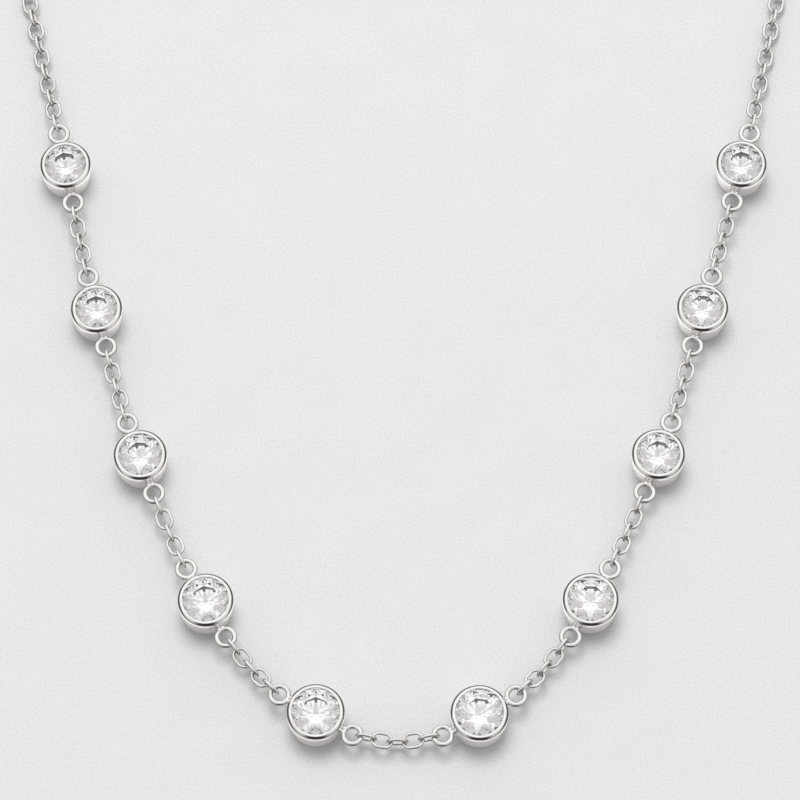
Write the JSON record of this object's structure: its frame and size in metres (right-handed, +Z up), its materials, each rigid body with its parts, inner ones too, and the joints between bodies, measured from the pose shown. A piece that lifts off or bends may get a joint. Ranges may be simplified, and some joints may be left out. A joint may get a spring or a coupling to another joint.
{
  "type": "crystal choker",
  "caption": "Choker necklace of round brilliant-cut crystals in bezel cups, joined by short lengths of oval cable chain and lying as a whole closed loop.",
  "frame": {"origin": "on the surface that the choker lies on, at the middle of the loop's outline", "axes": "+Z up from the surface, +Y from the crystals towards the clasp, +X to the right as seen from above with the clasp away from the viewer"},
  "size_m": [0.093, 0.1573, 0.0036],
  "materials": {
    "polished_silver": "mirror-polished sterling silver",
    "chain_silver": "bright polished silver wire",
    "crystal": "clear, faceted and polished"
  },
  "bodies": {
    "root": {"setting_1": "polished_silver", "setting_2": "polished_silver", "setting_3": "polished_silver", "setting_4": "polished_silver", "setting_5": "polished_silver", "setting_6": "polished_silver", "setting_7": "polished_silver", "setting_8": "polished_silver", "setting_9": "polished_silver", "setting_10": "polished_silver", "crystal_1": "crystal", "crystal_2": "crystal", "crystal_3": "crystal", "crystal_4": "crystal", "crystal_5": "crystal", "crystal_6": "crystal", "crystal_7": "crystal", "crystal_8": "crystal", "crystal_9": "crystal", "crystal_10": "crystal", "chain_1": "chain_silver", "chain_2": "chain_silver", "chain_3": "chain_silver", "chain_4": "chain_silver", "chain_5": "chain_silver", "chain_6": "chain_silver", "chain_7": "chain_silver", "chain_8": "chain_silver", "chain_9": "chain_silver", "chain_left": "chain_silver", "chain_right": "chain_silver", "clasp": "polished_silver", "end_ring": "polished_silver"}
  },
  "joints": []
}
